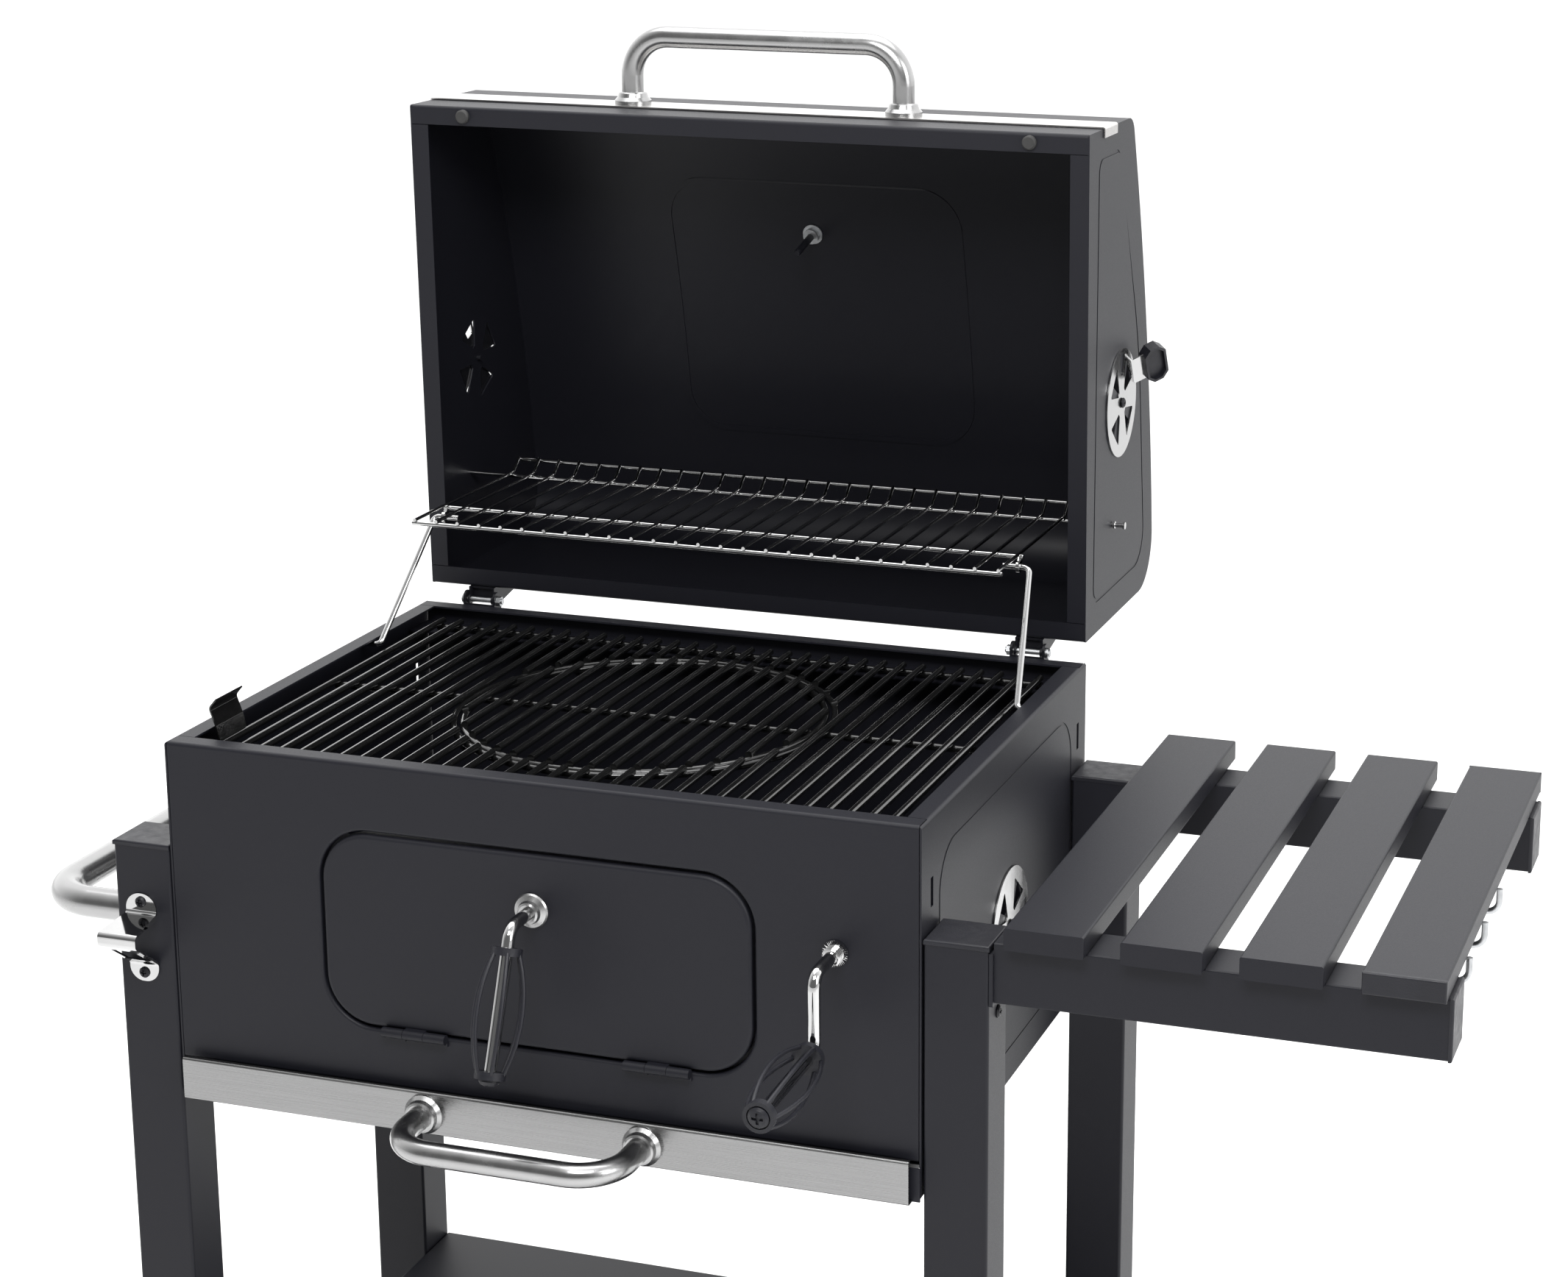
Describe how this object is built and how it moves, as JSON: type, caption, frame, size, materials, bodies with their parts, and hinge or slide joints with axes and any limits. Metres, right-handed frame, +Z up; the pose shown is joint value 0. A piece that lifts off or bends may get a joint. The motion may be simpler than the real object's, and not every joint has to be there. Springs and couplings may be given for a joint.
{
  "type": "charcoal grill cart",
  "caption": "Charcoal grill cart with an open hinged lid, swinging warming rack, crank-lifted coal pan, refill door, ash drawer, slatted side shelf, push handle and wheels.",
  "frame": {"origin": "on the floor, under the centre of the whole cart's bounding box at rest", "axes": "+X towards the side shelf (the viewer's right when facing the front), +Y towards the back, +Z up"},
  "size_m": [1.159, 0.8264, 1.3753],
  "materials": {
    "powder_coat": "satin fine-textured anthracite powder coat",
    "inner_enamel": "dark heat-resistant paint, matt",
    "brushed_stainless": "brushed stainless steel",
    "chrome_wire": "bright chrome plating",
    "grate_enamel": "gloss black enamel",
    "black_steel": "black-finished steel screws",
    "zinc_steel": "plain zinc-plated steel",
    "black_plastic": "matt black plastic",
    "rubber_black": "black rubber",
    "tyre_black": "moulded black tread",
    "dial_case": "brushed steel case"
  },
  "bodies": {
    "cart": {"firebox_front": "powder_coat", "firebox_rear": "powder_coat", "firebox_side_right": "powder_coat", "firebox_side_left": "powder_coat", "box_ledges": "inner_enamel", "tube_caps": "black_plastic", "leg_front_left": "powder_coat", "leg_rear_left": "powder_coat", "leg_front_right": "powder_coat", "leg_rear_right": "powder_coat", "leg_feet": "black_plastic", "lower_shelf": "powder_coat", "shelf_arm_front": "powder_coat", "shelf_arm_rear": "powder_coat", "shelf_brackets": "powder_coat", "shelf_slats": "powder_coat", "tool_hooks": "chrome_wire", "axle": "zinc_steel", "push_handle": "brushed_stainless", "bottle_opener": "chrome_wire", "cart_screws": "black_steel", "hinge_lugs": "powder_coat", "hinge_bolts": "zinc_steel", "crank_bushings": "zinc_steel", "door_hinge_leaves": "powder_coat"},
    "lid": {"lid_shell": "powder_coat", "lid_side_right": "powder_coat", "lid_side_left": "powder_coat", "lid_strip": "brushed_stainless", "lid_handle": "brushed_stainless", "lid_bumpers": "rubber_black", "lid_hinge_brackets": "powder_coat", "lid_screws": "black_steel", "thermometer_case": "dial_case", "thermometer_stem": "zinc_steel"},
    "lid_vent_right": {"lid_vent_right": "chrome_wire", "lid_vent_knob_right": "black_plastic"},
    "lid_vent_left": {"lid_vent_left": "chrome_wire", "lid_vent_knob_left": "black_plastic"},
    "box_vent_right": {"box_vent_right": "chrome_wire", "box_vent_knob_right": "black_plastic"},
    "box_vent_left": {"box_vent_left": "chrome_wire", "box_vent_knob_left": "black_plastic"},
    "rack": {"warming_rack": "chrome_wire"},
    "stays": {"rack_stays": "chrome_wire"},
    "grate": {"cooking_grate": "grate_enamel"},
    "insert": {"grate_insert": "grate_enamel"},
    "door": {"door_panel": "powder_coat", "latch_rosette": "brushed_stainless"},
    "latch": {"latch_rod": "chrome_wire", "latch_grip": "black_plastic"},
    "crank": {"crank_spindle": "chrome_wire"},
    "crank_grip": {"crank_grip": "black_plastic"},
    "carriage": {"lift_carriage": "zinc_steel"},
    "coal_pan": {"coal_pan": "inner_enamel"},
    "ash_drawer": {"ash_tray": "inner_enamel", "drawer_front": "brushed_stainless", "drawer_handle": "brushed_stainless"},
    "wheel_front": {"wheel_front": "tyre_black"},
    "wheel_rear": {"wheel_rear": "tyre_black"}
  },
  "joints": [
    {"name": "lid_hinge", "type": "hinge", "parent": "cart", "child": "lid", "pos_m": [-0.1225, 0.1902, 0.858], "axis": [1, 0, 0], "range_deg": [0, 88.8]},
    {"name": "rack_pivot", "type": "hinge", "parent": "lid", "child": "rack", "pos_m": [-0.1225, 0.2721, 0.955], "axis": [1, 0, 0], "range_deg": [-88.8, 0]},
    {"name": "stay_swing", "type": "hinge", "parent": "cart", "child": "stays", "pos_m": [-0.1225, 0.0547, 0.8505], "axis": [1, 0, 0], "range_deg": [0, 88.8]},
    {"name": "lid_vent_right_turn", "type": "hinge", "parent": "lid", "child": "lid_vent_right", "pos_m": [0.1865, 0.2936, 1.0595], "axis": [1, 0, 0], "range_deg": [-20, 25]},
    {"name": "lid_vent_left_turn", "type": "hinge", "parent": "lid", "child": "lid_vent_left", "pos_m": [-0.4315, 0.2936, 1.0595], "axis": [1, 0, 0], "range_deg": [-45, 0]},
    {"name": "box_vent_right_turn", "type": "hinge", "parent": "cart", "child": "box_vent_right", "pos_m": [0.1895, -0.0353, 0.6986], "axis": [1, 0, 0], "range_deg": [-20, 25]},
    {"name": "box_vent_left_turn", "type": "hinge", "parent": "cart", "child": "box_vent_left", "pos_m": [-0.4345, -0.0353, 0.6986], "axis": [1, 0, 0], "range_deg": [-20, 25]},
    {"name": "grate_lift", "type": "slide", "parent": "cart", "child": "grate", "axis": [0, 0, 1], "range_m": [0, 0.018]},
    {"name": "insert_lift", "type": "slide", "parent": "grate", "child": "insert", "axis": [0, 0, 1], "range_m": [0, 0.055]},
    {"name": "door_hinge", "type": "hinge", "parent": "cart", "child": "door", "pos_m": [-0.1225, -0.2588, 0.6382], "axis": [1, 0, 0], "range_deg": [0, 36]},
    {"name": "latch_turn", "type": "hinge", "parent": "door", "child": "latch", "pos_m": [-0.1225, -0.2643, 0.7531], "axis": [0, 1, 0], "range_deg": [0, 90]},
    {"name": "pan_lift", "type": "slide", "parent": "cart", "child": "coal_pan", "axis": [0, 0, 1], "range_m": [0, 0.075]},
    {"name": "crank_turn", "type": "hinge", "parent": "cart", "child": "crank", "pos_m": [0.1225, -0.2543, 0.749], "axis": [0, 1, 0], "range_deg": [0, 1440]},
    {"name": "carriage_slide", "type": "slide", "parent": "cart", "child": "carriage", "axis": [0, 1, 0], "range_m": [0, 0.1]},
    {"name": "crank_grip_spin", "type": "hinge", "parent": "crank", "child": "crank_grip", "pos_m": [0.1225, -0.2998, 0.69], "axis": [0, -0.9994, -0.0349], "continuous": true},
    {"name": "ash_drawer_slide", "type": "slide", "parent": "cart", "child": "ash_drawer", "axis": [0, -1, 0], "range_m": [0, 0.36]},
    {"name": "wheel_front_spin", "type": "hinge", "parent": "cart", "child": "wheel_front", "pos_m": [0.216, -0.2823, 0.08], "axis": [0, 1, 0], "continuous": true},
    {"name": "wheel_rear_spin", "type": "hinge", "parent": "cart", "child": "wheel_rear", "pos_m": [0.216, 0.2117, 0.08], "axis": [0, 1, 0], "continuous": true}
  ],
  "couplings": [
    {"joint": "rack_pivot", "follows": "lid_hinge", "ratio": -1},
    {"joint": "stay_swing", "follows": "lid_hinge", "ratio": 1},
    {"joint": "crank_turn", "follows": "pan_lift", "rad_per_m": 335.1},
    {"joint": "carriage_slide", "follows": "pan_lift", "ratio": 1.3333}
  ]
}
